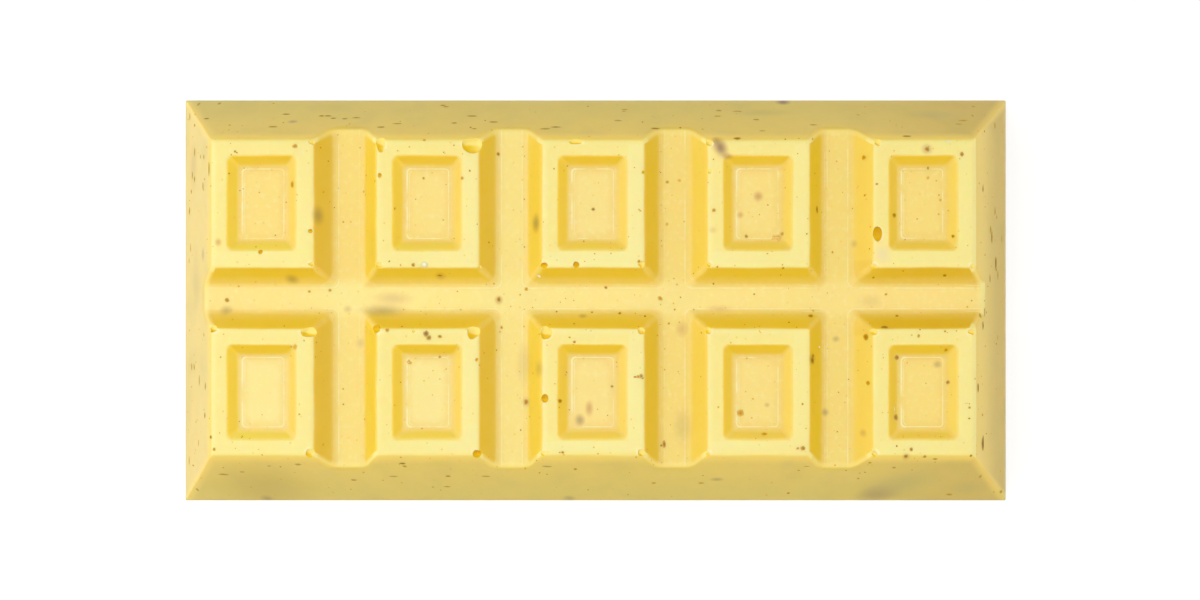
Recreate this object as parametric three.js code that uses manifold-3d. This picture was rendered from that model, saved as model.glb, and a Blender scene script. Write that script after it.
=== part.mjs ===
// A moulded chocolate bar of two rows of five blocks, lying on its flat poured side.
// Millimetres, +Z up. X runs along the bar, Y across it, and the origin is under its middle.

import * as THREE from "three";
import { mergeVertices } from "three/addons/utils/BufferGeometryUtils.js";
import Module from "manifold-3d";

// The whole bar
const LENGTH = 150;
const WIDTH = 73.2;
const HEIGHT = 10;
const COLUMNS = 5;
const ROWS = 2;
const PITCH_X = 28.44;
const PITCH_Y = 32.54;

// Outer slopes, from the sharp bottom edge up to the soft edge of the block tops
const SLOPE_RUN = 9.4;
const SLOPE_EDGE_REACH = 0.55;
const BOTTOM_CORNER_RADIUS = 0.3;
const TOP_CORNER_RADIUS = 1.0;

// Break grooves: sloped walls, a wide soft foot and a narrow flat floor
const GROOVE_DEPTH = 2.6;
const GROOVE_WALL_RUN = 2.8;
const GROOVE_FOOT_REACH = 1.1;
const GROOVE_RIM_REACH = 0.45;

// Shallow dish in the top of each block
const DISH_LENGTH_X = 12.0;
const DISH_LENGTH_Y = 16.2;
const DISH_DEPTH = 0.75;
const DISH_WALL_RUN = 1.7;
const DISH_FOOT_REACH = 0.5;
const DISH_RIM_REACH = 0.5;
const DISH_CORNER_RADIUS = 1.6;

// Fineness of the soft corners, and how far a cutter reaches past what it cuts
const RING_CORNER_STEPS = 3;
const FOOT_STEPS = 3;
const EDGE_STEPS = 2;
const CUTTER_EXCESS = 1;

const COLOUR = 0xf6dd85;
const ROUGHNESS = 0.4;

const FLOOR_Z = HEIGHT - GROOVE_DEPTH;
const BLOCK_TOP_X = LENGTH - 2 * SLOPE_RUN - (COLUMNS - 1) * PITCH_X;
const BLOCK_TOP_Y = WIDTH - 2 * SLOPE_RUN - (ROWS - 1) * PITCH_Y;

// Air bubbles that burst at the mould's face. They gather at the corners and edges of the blocks.
// Column counts from the left and row from the front; across and up run from -1 to 1 over the
// block's top. A stretched bubble is longer along one way.
const BUBBLES = [
  { column: 0, row: 1, across: 0.96, up: 0.96, radius: 0.48 },
  { column: 0, row: 1, across: 0.96, up: -0.44, radius: 0.38 },
  { column: 0, row: 1, across: -0.02, up: -0.77, radius: 0.41 },
  { column: 1, row: 1, across: -0.93, up: 0.95, radius: 0.77 },
  { column: 1, row: 1, across: -0.93, up: 0.43, radius: 0.4 },
  { column: 1, row: 1, across: -0.95, up: -0.98, radius: 0.48 },
  { column: 1, row: 1, across: 0.9, up: 0.94, radius: 0.75, stretchX: 1.5 },
  { column: 1, row: 1, across: 1.06, up: -1.03, radius: 0.45 },
  { column: 2, row: 1, across: -0.32, up: 0.96, radius: 0.45, stretchX: 2 },
  { column: 2, row: 1, across: -0.95, up: -0.98, radius: 0.52 },
  { column: 2, row: 1, across: -0.32, up: -0.97, radius: 0.55 },
  { column: 2, row: 1, across: 0.96, up: -0.97, radius: 0.52 },
  { column: 3, row: 1, across: -0.96, up: 0.95, radius: 0.52 },
  { column: 3, row: 1, across: -0.96, up: -0.97, radius: 0.43 },
  { column: 4, row: 1, across: -0.91, up: 0.95, radius: 0.52 },
  { column: 4, row: 1, across: -0.9, up: -0.49, radius: 0.8, stretchY: 1.6 },
  { column: 4, row: 1, across: -0.98, up: -1.0, radius: 0.45 },
  { column: 0, row: 0, across: -0.96, up: 1.0, radius: 0.6 },
  { column: 0, row: 0, across: 0.92, up: 0.97, radius: 0.6, stretchX: 1.5 },
  { column: 0, row: 0, across: 0.96, up: -0.96, radius: 0.6 },
  { column: 1, row: 0, across: -1.01, up: 1.02, radius: 0.65 },
  { column: 1, row: 0, across: 0.94, up: 0.96, radius: 0.86 },
  { column: 1, row: 0, across: 0.98, up: -0.97, radius: 0.77 },
  { column: 2, row: 0, across: -0.95, up: 0.97, radius: 0.86 },
  { column: 2, row: 0, across: 0.97, up: 0.97, radius: 0.52 },
  { column: 2, row: 0, across: -0.93, up: -0.1, radius: 0.65 },
  { column: 2, row: 0, across: 0.96, up: -0.97, radius: 0.57 },
  { column: 3, row: 0, across: -0.98, up: 0.97, radius: 0.52 },
  { column: 4, row: 0, across: -0.98, up: 0.95, radius: 0.6 },
  { column: 4, row: 0, across: 0.96, up: 0.95, radius: 0.57 },
  { column: 4, row: 0, across: -0.96, up: -0.98, radius: 0.48 },
];

// Crumbs that stand up out of a dish's floor, placed like the bubbles
const CRUMBS = [
  { column: 3, row: 1, across: 0.35, up: -0.54, radius: 0.75 },
  { column: 1, row: 0, across: -0.37, up: 0.47, radius: 0.5 },
];

const wasm = await Module();
wasm.setup();

function toSolid(geometry) {
  const bare = geometry.clone();
  bare.deleteAttribute("normal");
  bare.deleteAttribute("uv");
  const merged = mergeVertices(bare);
  const mesh = new wasm.Mesh({
    numProp: 3,
    vertProperties: merged.attributes.position.array,
    triVerts: new Uint32Array(merged.index.array),
  });
  return new wasm.Manifold(mesh);
}

function toGeometry(solid) {
  const mesh = solid.getMesh();
  const geometry = new THREE.BufferGeometry();
  geometry.setAttribute("position", new THREE.BufferAttribute(mesh.vertProperties, 3));
  geometry.setIndex(new THREE.BufferAttribute(mesh.triVerts, 1));
  return geometry;
}

// Points of a curve that rounds a corner off, starting and ending `reach` away from it
function softCorner(before, corner, after, reach, steps) {
  const start = corner.clone().lerp(before, reach / corner.distanceTo(before));
  const end = corner.clone().lerp(after, reach / corner.distanceTo(after));
  return new THREE.QuadraticBezierCurve(start, corner, end).getPoints(steps);
}

// One level of a loft: a rectangle with round corners, counter-clockwise from above
function roundedRing(halfX, halfY, radius, z) {
  const points = [];
  const centres = [[1, 1], [-1, 1], [-1, -1], [1, -1]];
  centres.forEach(([sideX, sideY], corner) => {
    for (let step = 0; step <= RING_CORNER_STEPS; step += 1) {
      const angle = (corner + step / RING_CORNER_STEPS) * (Math.PI / 2);
      const x = sideX * (halfX - radius) + radius * Math.cos(angle);
      const y = sideY * (halfY - radius) + radius * Math.sin(angle);
      points.push(x, y, z);
    }
  });
  return points;
}

// A closed solid through rings given from the lowest to the highest
function loft(rings) {
  const count = rings[0].length / 3;
  const positions = [...rings.flat(), 0, 0, rings[0][2], 0, 0, rings.at(-1)[2]];
  const bottomCentre = rings.length * count;
  const topCentre = bottomCentre + 1;
  const topRing = (rings.length - 1) * count;
  const triangles = [];
  for (let i = 0; i < count; i += 1) {
    const next = (i + 1) % count;
    for (let level = 0; level < topRing; level += count) {
      triangles.push(level + i, level + next, level + count + next);
      triangles.push(level + i, level + count + next, level + count + i);
    }
    triangles.push(bottomCentre, next, i);
    triangles.push(topCentre, topRing + i, topRing + next);
  }
  const geometry = new THREE.BufferGeometry();
  geometry.setAttribute("position", new THREE.Float32BufferAttribute(positions, 3));
  geometry.setIndex(triangles);
  return geometry;
}

// The bar before anything is cut into it: four equal slopes under one flat top
function blank() {
  const bottom = new THREE.Vector2(0, 0);
  const edge = new THREE.Vector2(SLOPE_RUN, HEIGHT);
  const middle = new THREE.Vector2(WIDTH / 2, HEIGHT);
  const profile = [bottom, ...softCorner(bottom, edge, middle, SLOPE_EDGE_REACH, EDGE_STEPS)];
  const rings = profile.map((point) => {
    const radius = THREE.MathUtils.lerp(BOTTOM_CORNER_RADIUS, TOP_CORNER_RADIUS, point.y / HEIGHT);
    return roundedRing(LENGTH / 2 - point.x, WIDTH / 2 - point.x, radius, point.y);
  });
  return toSolid(loft(rings));
}

// A straight cutter for one groove, running along Y through the middle
function grooveCutter(gap, length) {
  const rimHalf = gap / 2;
  const middle = new THREE.Vector2(0, FLOOR_Z);
  const foot = new THREE.Vector2(rimHalf - GROOVE_WALL_RUN, FLOOR_Z);
  const rim = new THREE.Vector2(rimHalf, HEIGHT);
  const top = new THREE.Vector2(rimHalf + GROOVE_RIM_REACH, HEIGHT);
  const side = [
    ...softCorner(middle, foot, rim, GROOVE_FOOT_REACH, FOOT_STEPS),
    ...softCorner(foot, rim, top, GROOVE_RIM_REACH, EDGE_STEPS),
    new THREE.Vector2(top.x, HEIGHT + CUTTER_EXCESS),
  ];
  const mirrored = side.map((point) => new THREE.Vector2(-point.x, point.y)).reverse();
  const shape = new THREE.Shape([...side, ...mirrored]);
  const geometry = new THREE.ExtrudeGeometry(shape, { depth: length, bevelEnabled: false });
  geometry.translate(0, 0, -length / 2);
  geometry.rotateX(Math.PI / 2);
  return geometry;
}

function acrossGrooves() {
  const gap = PITCH_X - BLOCK_TOP_X;
  const cutters = [];
  for (let column = 1; column < COLUMNS; column += 1) {
    const geometry = grooveCutter(gap, WIDTH + 2 * CUTTER_EXCESS);
    geometry.translate((column - COLUMNS / 2) * PITCH_X, 0, 0);
    cutters.push(toSolid(geometry));
  }
  return cutters;
}

function alongGroove() {
  const geometry = grooveCutter(PITCH_Y - BLOCK_TOP_Y, LENGTH + 2 * CUTTER_EXCESS);
  geometry.rotateZ(Math.PI / 2);
  return toSolid(geometry);
}

function blockCentre(column, row) {
  const x = (column - (COLUMNS - 1) / 2) * PITCH_X;
  const y = (row - (ROWS - 1) / 2) * PITCH_Y;
  return new THREE.Vector2(x, y);
}

function dishCutter() {
  const top = new THREE.Vector2(-DISH_RIM_REACH, HEIGHT);
  const rim = new THREE.Vector2(0, HEIGHT);
  const foot = new THREE.Vector2(DISH_WALL_RUN, HEIGHT - DISH_DEPTH);
  const middle = new THREE.Vector2(DISH_LENGTH_X / 2, HEIGHT - DISH_DEPTH);
  const profile = [
    new THREE.Vector2(-DISH_RIM_REACH, HEIGHT + CUTTER_EXCESS),
    ...softCorner(top, rim, foot, DISH_RIM_REACH, EDGE_STEPS),
    ...softCorner(rim, foot, middle, DISH_FOOT_REACH, EDGE_STEPS),
  ];
  const rings = profile.map((point) => {
    const radius = DISH_CORNER_RADIUS - point.x / 2;
    return roundedRing(DISH_LENGTH_X / 2 - point.x, DISH_LENGTH_Y / 2 - point.x, radius, point.y);
  });
  return loft(rings.reverse());
}

function dishes() {
  const cutters = [];
  for (let column = 0; column < COLUMNS; column += 1) {
    for (let row = 0; row < ROWS; row += 1) {
      const centre = blockCentre(column, row);
      const geometry = dishCutter();
      geometry.translate(centre.x, centre.y, 0);
      cutters.push(toSolid(geometry));
    }
  }
  return cutters;
}

// A ball on a block, used to cut a bubble out of the top or to leave a crumb standing in a dish
function ballOnBlock({ column, row, across, up, radius, stretchX = 1, stretchY = 1 }, z) {
  const centre = blockCentre(column, row);
  const geometry = new THREE.IcosahedronGeometry(radius, 1);
  geometry.scale(stretchX, stretchY, 1);
  geometry.translate(
    centre.x + (across * BLOCK_TOP_X) / 2,
    centre.y + (up * BLOCK_TOP_Y) / 2,
    z,
  );
  return toSolid(geometry);
}

function bubbles() {
  return BUBBLES.map((bubble) => ballOnBlock(bubble, HEIGHT - 0.2 * bubble.radius));
}

function crumbs() {
  const dishFloor = HEIGHT - DISH_DEPTH;
  return CRUMBS.map((crumb) => ballOnBlock(crumb, dishFloor - 0.3 * crumb.radius));
}

function chocolate() {
  const cutters = [...acrossGrooves(), alongGroove(), ...dishes()];
  let solid = cutters.reduce((rest, cutter) => rest.subtract(cutter), blank());
  solid = crumbs().reduce((whole, crumb) => whole.add(crumb), solid);
  return bubbles().reduce((rest, bubble) => rest.subtract(bubble), solid);
}

const material = new THREE.MeshStandardMaterial({
  color: COLOUR,
  roughness: ROUGHNESS,
  metalness: 0,
});

const bar = new THREE.Mesh(toGeometry(chocolate()), material);
bar.name = "bar";

const group = new THREE.Group();
group.add(bar);

export default group;
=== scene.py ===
import math
import random
from types import SimpleNamespace

import bmesh
import bpy
from mathutils import Matrix, Vector, noise
from mathutils.bvhtree import BVHTree


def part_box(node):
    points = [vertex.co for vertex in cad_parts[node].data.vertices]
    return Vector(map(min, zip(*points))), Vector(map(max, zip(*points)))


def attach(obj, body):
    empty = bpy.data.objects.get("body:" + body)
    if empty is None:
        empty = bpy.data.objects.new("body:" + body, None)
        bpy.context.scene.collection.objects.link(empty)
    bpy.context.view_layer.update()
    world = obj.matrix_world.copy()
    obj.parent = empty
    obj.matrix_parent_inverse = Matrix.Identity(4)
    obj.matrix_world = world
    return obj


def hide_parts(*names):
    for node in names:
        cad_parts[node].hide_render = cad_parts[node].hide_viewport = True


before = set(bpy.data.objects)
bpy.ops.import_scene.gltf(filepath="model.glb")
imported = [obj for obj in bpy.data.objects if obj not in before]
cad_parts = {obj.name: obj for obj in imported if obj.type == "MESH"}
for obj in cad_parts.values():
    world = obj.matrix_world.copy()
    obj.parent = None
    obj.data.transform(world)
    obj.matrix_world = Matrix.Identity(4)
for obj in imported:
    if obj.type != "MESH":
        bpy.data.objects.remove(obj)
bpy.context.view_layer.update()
SEED = 27
noise.seed_set(SEED)  # otherwise the clock seeds it, and each run has another uneven surface

# ---------------------------------------------------------------------------------------------
# Sizes. The bar is modelled in millimetres and made metres at the end.
# X runs along the bar, Y across its two rows, Z up out of the moulded face.
# ---------------------------------------------------------------------------------------------

MM = 0.001

LOW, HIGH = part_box("bar")
LENGTH = round((HIGH[0] - LOW[0]) / MM, 3)
WIDTH = round((HIGH[1] - LOW[1]) / MM, 3)
HEIGHT = round((HIGH[2] - LOW[2]) / MM, 3)

COLUMNS = 5
ROWS = 2
PITCH_X = 28.44
PITCH_Y = 32.54

SLOPE_RUN = 9.4  # how far the outer slopes lean in from the bottom edge to the block tops
GROOVE_DEPTH = 2.6
GROOVE_WALL_RUN = 2.8
GROOVE_FOOT = 0.9  # reach of the soft curve between a groove's wall and its floor
DISH_DEPTH = 0.75
DISH_MARGIN = 2.5  # flat band between a block's edge and its dish
DISH_RIM_RUN = 0.6  # the rounding at a dish's rim
DISH_WALL_RUN = 0.7  # the straight part of its wall
DISH_FOOT_RUN = 1.1  # the rounding at its foot
DISH_SOFT_STEPS = 4
DISH_CORNER = 0.95  # rounding of a dish's corners seen from above
RIM_EDGE = 0.75  # reach of the rounding where the outer slopes meet the tops and the grooves
HIP_EDGE = 0.2  # and where two outer slopes meet
SOFT_EDGE = 0.5  # and on the other edges that stand proud
BOTTOM_EDGE = 0.06  # and on the edge the bar stands on
FLECK_FLATNESS = 0.06  # half a fleck's thickness, in its radii
FLECK_LIFT = 0.015  # how far its middle is raised out of the surface
FLECK_UNEVENNESS = 0.45  # how much its outline wavers
FLECK_CORE = 0.45  # share of its reach that keeps its full tone
FLECK_SPREAD = 1.12  # how far a fleck's faded rim reaches past its own reach
EXCESS = 0.5  # how far a cutter stands out of what it cuts
CHIP_FLATNESS = 0.45  # a chip's thickness as a share of its width
CHIP_SINK = 0.05  # how deep its middle lies under the surface
CHIP_LUMPS = 0.6  # how uneven it is
CRUMB_SHAPE = (1, 0.8, 0.8)
CRUMB_SINK = 0.4  # how deep a crumb's middle lies under the dish's floor, in its radii
CRUMB_LUMPS = 0.9
SAUCER_REACH = 1.27  # how wide the saucer round a bubble is, in the bubble's radii
SAUCER_ROUND = 4.0  # radius of the ball that presses it, in the bubble's radii
SAUCER_LUMPS = 0.02
SAUCER_SINK = 0.15  # how far under the block tops it lies at most

FLOOR_Z = HEIGHT - GROOVE_DEPTH
DISH_Z = HEIGHT - DISH_DEPTH
BLOCK_X = LENGTH - 2 * SLOPE_RUN - (COLUMNS - 1) * PITCH_X
BLOCK_Y = WIDTH - 2 * SLOPE_RUN - (ROWS - 1) * PITCH_Y
DISH_X = BLOCK_X - 2 * DISH_MARGIN
DISH_Y = BLOCK_Y - 2 * DISH_MARGIN
FOOT_X = BLOCK_X / 2 + GROOVE_WALL_RUN
FOOT_Y = BLOCK_Y / 2 + GROOVE_WALL_RUN

RULE_STEP = 0.9  # spacing of the fine lines that let the surface be uneven
GROOVE_MARK = 1.8  # from the middle of a groove to the thin line along its floor
DISH_MARK_X = 2.65  # from a dish's rim to the thin line round its floor
DISH_MARK_Y = 2.45

# The moulded side is uneven in waves. Each has a length and moves the surface by a little.
SWELL_LENGTH = 15.0
SWELL_REACH = 0.05
WAVE_LENGTH = 6.0
WAVE_REACH = 0.09
RIPPLE_LENGTH = 2.2
RIPPLE_REACH = 0.035
UPRIGHT_SHARE = 0.2  # how much of the waves and ripples goes up and down
LET_DOWN = 0.03  # the whole surface is lowered by this
EVEN_BELOW = 1.5  # height under which all this fades out

# Air bubbles that burst at the mould's face: column from the left, row from the front, place on
# the block's top from -1 to 1 each way, radius, and how much longer each is along X and along Y.
# The deep ones are painted dark gold inside, as in shade. A hollow has three numbers: how high its
# middle lies over the block's top in radii, how much wider than its radius it is, and how uneven.
DEEP_HOLLOW = (-0.25, 1.0, 0.2)
DEEP_BUBBLES = [
    (0, 1, 0.96, -0.44, 0.38, 1.0, 1.0),
    (0, 1, -0.02, -0.77, 0.41, 1.0, 1.0),
    (1, 1, -0.93, 0.43, 0.40, 1.0, 1.0),
    (2, 1, -0.95, -0.98, 0.52, 1.2, 0.9),
    (2, 1, -0.32, -0.97, 0.55, 1.0, 1.0),
    (4, 1, -0.90, -0.49, 0.84, 1.0, 1.55),
    (1, 0, -1.01, 1.01, 0.65, 1.15, 1.4),
    (1, 0, 0.98, 0.51, 0.30, 1.0, 1.0),
    (1, 0, 0.98, -0.97, 0.77, 1.0, 0.9),
    (2, 0, -0.93, -0.10, 0.65, 0.92, 1.15),
]
# The open ones are painted pale, with a crescent of painted shade in gold at the front.
OPEN_HOLLOW = (0.12, 1.2, 0.45)
OPEN_BUBBLES = [
    (0, 1, 0.99, 0.955, 0.42, 1.1, 0.8),
    (0, 1, 0.98, -0.96, 0.38, 1.0, 1.0),
    (1, 1, -0.915, 0.93, 0.88, 1.0, 1.1),
    (1, 1, -0.95, -0.98, 0.48, 1.1, 1.0),
    (1, 1, 0.90, 0.92, 1.05, 1.4, 1.15),
    (1, 1, 1.06, -1.03, 0.45, 1.0, 1.0),
    (2, 1, -0.32, 0.96, 0.45, 2.0, 0.8),
    (2, 1, 0.96, -0.97, 0.52, 1.0, 1.0),
    (3, 1, -0.96, 0.95, 0.52, 1.0, 1.0),
    (3, 1, -0.94, 0.49, 0.30, 1.0, 1.0),
    (3, 1, -0.96, -0.97, 0.43, 1.0, 1.0),
    (4, 1, -0.91, 0.95, 0.52, 1.0, 1.0),
    (4, 1, -0.98, -1.00, 0.45, 1.0, 1.0),
    (4, 1, 0.97, -0.99, 0.36, 1.0, 1.0),
    (0, 0, -0.96, 1.00, 0.60, 1.2, 0.9),
    (0, 0, 0.91, 0.955, 0.85, 1.4, 0.95),
    (0, 0, 0.96, -0.96, 0.60, 0.95, 1.15),
    (1, 0, 0.93, 0.95, 1.05, 1.0, 1.0),
    (1, 0, -0.26, 0.97, 0.24, 1.0, 1.0),
    (2, 0, -0.92, 0.94, 0.86, 1.05, 1.2),
    (2, 0, 0.97, 0.97, 0.52, 1.0, 1.0),
    (2, 0, -0.97, -0.96, 0.42, 1.0, 1.0),
    (2, 0, 0.96, -0.97, 0.57, 1.0, 1.0),
    (3, 0, -0.98, 0.97, 0.52, 1.0, 1.0),
    (3, 0, -0.98, -0.98, 0.40, 1.0, 1.0),
    (3, 0, 0.05, 0.96, 0.24, 1.0, 1.0),
    (4, 0, -0.98, 0.95, 0.60, 1.0, 1.0),
    (4, 0, 0.96, 0.95, 0.57, 1.0, 1.0),
    (4, 0, -0.96, -0.98, 0.48, 1.0, 1.0),
]

# Crumbs that stand up out of a dish's floor, placed as the bubbles are, with their radius
CRUMBS = [
    (3, 1, 0.35, -0.54, 0.75),
    (1, 0, -0.37, 0.47, 0.50),
]

# Grains of vanilla and caramel at the surface: x, y, reach each way in millimetres, and tone
HONEY = (0.74, 0.38, 0.015)
AMBER = (0.54, 0.21, 0.003)
RUST = (0.34, 0.095, 0.002)
UMBER = (0.24, 0.095, 0.018)
DUSK = (0.32, 0.165, 0.10)
PLUM = (0.16, 0.055, 0.045)
FLECKS = [
    (-28.6, -6.2, 0.50, 0.55, PLUM),
    (-28.1, -6.9, 0.42, 0.42, UMBER),
    (-26.2, -6.7, 0.34, 0.28, RUST),
    (25.5, -19.9, 0.62, 0.55, AMBER),
    (68.1, -25.3, 0.42, 1.25, PLUM),
    (52.3, -20.6, 0.50, 0.65, RUST),
    (47.2, -6.8, 0.50, 0.55, RUST),
    (-16.5, -0.2, 0.35, 0.45, UMBER),
    (37.9, -10.8, 0.40, 0.70, UMBER),
    (7.35, -13.65, 0.30, 0.15, RUST),
    (7.9, -13.6, 0.36, 0.24, AMBER),
    (8.4, -13.5, 0.36, 0.38, DUSK),
    (8.6, -13.8, 0.26, 0.22, UMBER),
    (-5.1, -26.6, 0.26, 0.20, RUST),
    (-5.6, -26.6, 0.16, 0.11, AMBER),
    (11.9, -25.7, 0.26, 0.20, RUST),
    (4.65, -2.65, 0.26, 0.22, RUST),
    (-3.1, -7.65, 0.25, 0.21, RUST),
    (-3.9, -6.85, 0.18, 0.14, AMBER),
    (3.35, -15.3, 0.26, 0.22, RUST),
    (13.2, -4.4, 0.22, 0.20, AMBER),
    (-16.0, -5.1, 0.22, 0.30, AMBER),
    (68.1, -4.7, 0.30, 0.70, DUSK),
    (71.9, 6.5, 0.32, 1.15, PLUM),
    (52.5, -10.3, 0.50, 0.50, RUST),
    (-11.7, -18.1, 0.45, 0.50, RUST),
    (70.7, 11.0, 0.30, 1.05, DUSK),
    (57.5, 25.5, 0.42, 0.42, RUST),
    (36.2, -25.9, 0.42, 0.40, RUST),
    (35.3, -25.9, 0.20, 0.20, AMBER),
    (-66.2, 22.3, 0.26, 1.10, AMBER),
    (50.2, -5.1, 0.65, 0.30, UMBER),
    (-51.1, -8.5, 0.40, 0.45, HONEY),
    (-51.1, 26.0, 0.42, 0.40, AMBER),
    (-64.0, -0.3, 0.38, 0.38, RUST),
    (11.7, 0.0, 0.40, 0.38, AMBER),
    (53.9, -27.3, 0.36, 0.34, UMBER),
    (38.9, 15.4, 0.24, 0.62, RUST),
    (12.4, -25.5, 0.32, 0.70, RUST),
    (-33.1, -28.7, 0.60, 0.24, UMBER),
    (10.8, 29.7, 0.75, 0.20, UMBER),
    (24.9, 27.4, 0.60, 0.24, RUST),
    (37.9, -3.1, 0.40, 0.34, RUST),
    (61.3, -14.6, 0.36, 0.36, RUST),
    (-6.5, 30.0, 0.80, 0.20, UMBER),
    (54.3, 27.9, 0.80, 0.22, UMBER),
    (63.5, 24.6, 0.34, 0.40, RUST),
    (-51.7, 19.5, 0.30, 0.52, AMBER),
    (-5.6, -17.8, 0.36, 0.36, RUST),
    (68.1, 19.2, 0.26, 0.60, DUSK),
    (52.0, 14.2, 0.36, 0.38, RUST),
    (47.5, -14.7, 0.36, 0.36, AMBER),
    (66.7, -15.5, 0.28, 0.70, PLUM),
    (-16.6, 25.2, 0.34, 0.36, RUST),
    (46.9, 24.3, 0.36, 0.36, AMBER),
    (57.9, 20.7, 0.30, 0.28, HONEY),
    (32.7, 11.0, 0.34, 0.34, AMBER),
    (-26.5, 3.9, 0.46, 0.24, RUST),
    (-35.3, -5.6, 0.34, 0.34, AMBER),
    (20.9, 15.0, 0.32, 0.30, AMBER),
    (54.8, -26.1, 0.30, 0.34, RUST),
    (-37.2, 30.0, 0.60, 0.20, RUST),
    (61.0, 3.9, 0.32, 0.32, RUST),
    (-11.7, 1.6, 0.32, 0.32, AMBER),
    (57.9, 22.4, 0.18, 0.38, RUST),
    (26.5, 10.6, 0.30, 0.30, RUST),
    (60.9, -9.0, 0.32, 0.32, AMBER),
    (-22.4, 20.5, 0.28, 0.28, AMBER),
    (-30.8, 5.6, 0.30, 0.30, RUST),
    (2.2, 1.9, 0.28, 0.28, RUST),
    (12.9, 20.3, 0.30, 0.28, AMBER),
    (0.1, 15.3, 0.30, 0.28, UMBER),
    (-71.5, 21.5, 0.24, 0.50, DUSK),
    (-67.6, -20.4, 0.26, 0.50, UMBER),
    (52.9, -3.1, 0.28, 0.26, RUST),
    (29.6, -23.5, 0.50, 0.22, AMBER),
    (36.1, -18.3, 0.20, 0.20, AMBER),
    (59.1, -27.8, 0.40, 0.18, UMBER),
    (64.8, -18.9, 0.24, 0.22, AMBER),
    (65.1, -27.2, 0.22, 0.22, RUST),
    (-55.1, 33.1, 0.65, 0.20, UMBER),
    (-47.5, 32.7, 0.60, 0.18, UMBER),
    (-46.3, 32.1, 0.50, 0.16, UMBER),
    (-24.6, 31.0, 0.50, 0.24, DUSK),
    (-27.6, 35.3, 0.50, 0.18, RUST),
    (-68.8, 32.0, 0.50, 0.20, UMBER),
    (-20.8, 29.6, 0.45, 0.16, AMBER),
    (-49.6, 1.2, 0.24, 0.22, AMBER),
    (-46.0, 1.4, 0.28, 0.26, AMBER),
    (-61.4, 25.1, 0.20, 0.20, RUST),
]
FLECK_SHARES = ((HONEY, 0.45), (AMBER, 0.35), (RUST, 0.20))
EDGE_GAP = 0.8  # no loose fleck lies nearer to the bottom edge
FEW_LARGER = 40  # loose flecks of middling size
LARGER_REACH = (0.20, 0.30)
MANY_SMALL = 560  # and small ones
SMALLEST_REACH = 0.085
SMALL_RANGE = 0.11
SLOPE_STREAKS = 72  # flecks drawn out along the outer slopes
STREAK_LENGTH = (0.3, 0.9)
STREAK_WIDTH = (0.14, 0.3)
STREAK_TONES = ((0.48, 0.28, 0.08), (0.46, 0.24, 0.06), (0.45, 0.31, 0.13), (0.55, 0.30, 0.06))
# The colour of the chocolate round a fleck, on an outer slope, on level ground and on a wall,
# with the painted light and shade of each
NEAR_SLOPE = (0.70, 0.50, 0.09)
NEAR_LEVEL = (0.93, 0.69, 0.18)
NEAR_WALL = (0.83, 0.54, 0.02)

# Pale chips and splinters: x, y, half their length, half their width and turn in degrees
CHIPS = [
    (-9.4, 3.9, 0.42, 0.20, -55),
    (-28.8, 5.7, 0.50, 0.38, 20),
    (61.2, 26.8, 0.34, 0.20, -30),
    (60.3, -16.8, 0.50, 0.10, -48),
    (52.0, -19.1, 0.50, 0.10, -80),
    (39.3, -8.5, 0.24, 0.16, -20),
    (55.3, -7.3, 0.28, 0.09, -40),
    (13.7, 9.9, 0.13, 0.10, 0),
    (40.5, -14.6, 0.14, 0.10, 90),
]


def column_x(column):
    return (column - (COLUMNS - 1) / 2) * PITCH_X


def row_y(row):
    return (row - (ROWS - 1) / 2) * PITCH_Y


def on_block(column, row, across, up):
    """x and y of a place on a block's top that is given from -1 to 1 each way."""
    return column_x(column) + across * BLOCK_X / 2, row_y(row) + up * BLOCK_Y / 2


# ---------------------------------------------------------------------------------------------
# Small helpers round the modelling operators
# ---------------------------------------------------------------------------------------------


def only(piece):
    """Leaves this piece alone selected and active."""
    bpy.ops.object.select_all(action="DESELECT")
    piece.select_set(True)
    bpy.context.view_layer.objects.active = piece


def pick(piece, wanted, kind="FACE"):
    """Opens the piece in edit mode with just the faces or edges selected that are wanted."""
    only(piece)
    bpy.ops.object.mode_set(mode="EDIT")
    bpy.ops.mesh.select_mode(type=kind)
    bpy.ops.mesh.select_all(action="DESELECT")
    mesh = bmesh.from_edit_mesh(piece.data)
    for element in mesh.faces if kind == "FACE" else mesh.edges:
        if wanted(element):
            element.select_set(True)
    bmesh.update_edit_mesh(piece.data)


def close_edit():
    bpy.ops.object.mode_set(mode="OBJECT")


def settle(piece):
    """Puts the object's own place, turn and size into its mesh."""
    only(piece)
    bpy.ops.object.transform_apply(location=True, rotation=True, scale=True)


def cube(name, size, centre):
    bpy.ops.object.select_all(action="DESELECT")
    bpy.ops.mesh.primitive_cube_add(size=1, location=centre, scale=size)
    piece = bpy.context.object
    piece.name = name
    settle(piece)
    return piece


def boolean(piece, tool, operation):
    only(piece)
    bpy.ops.object.modifier_add(type="BOOLEAN")
    modifier = piece.modifiers[-1]
    modifier.operation = operation
    modifier.solver = "EXACT"
    modifier.material_mode = "TRANSFER"
    modifier.object = tool
    bpy.ops.object.modifier_apply(modifier=modifier.name)
    bpy.data.objects.remove(tool)


def join(pieces):
    bpy.ops.object.select_all(action="DESELECT")
    for piece in pieces:
        piece.select_set(True)
    bpy.context.view_layer.objects.active = pieces[0]
    bpy.ops.object.join()
    return bpy.context.object


def middle(edge):
    return (edge.verts[0].co + edge.verts[1].co) / 2


def bend_angle(edge):
    """How sharply the surface turns at an edge in degrees, positive where it stands proud."""
    if len(edge.link_faces) != 2:
        return 0.0
    return math.degrees(edge.calc_face_angle_signed(0.0))


# ---------------------------------------------------------------------------------------------
# The moulded form
# ---------------------------------------------------------------------------------------------


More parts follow.
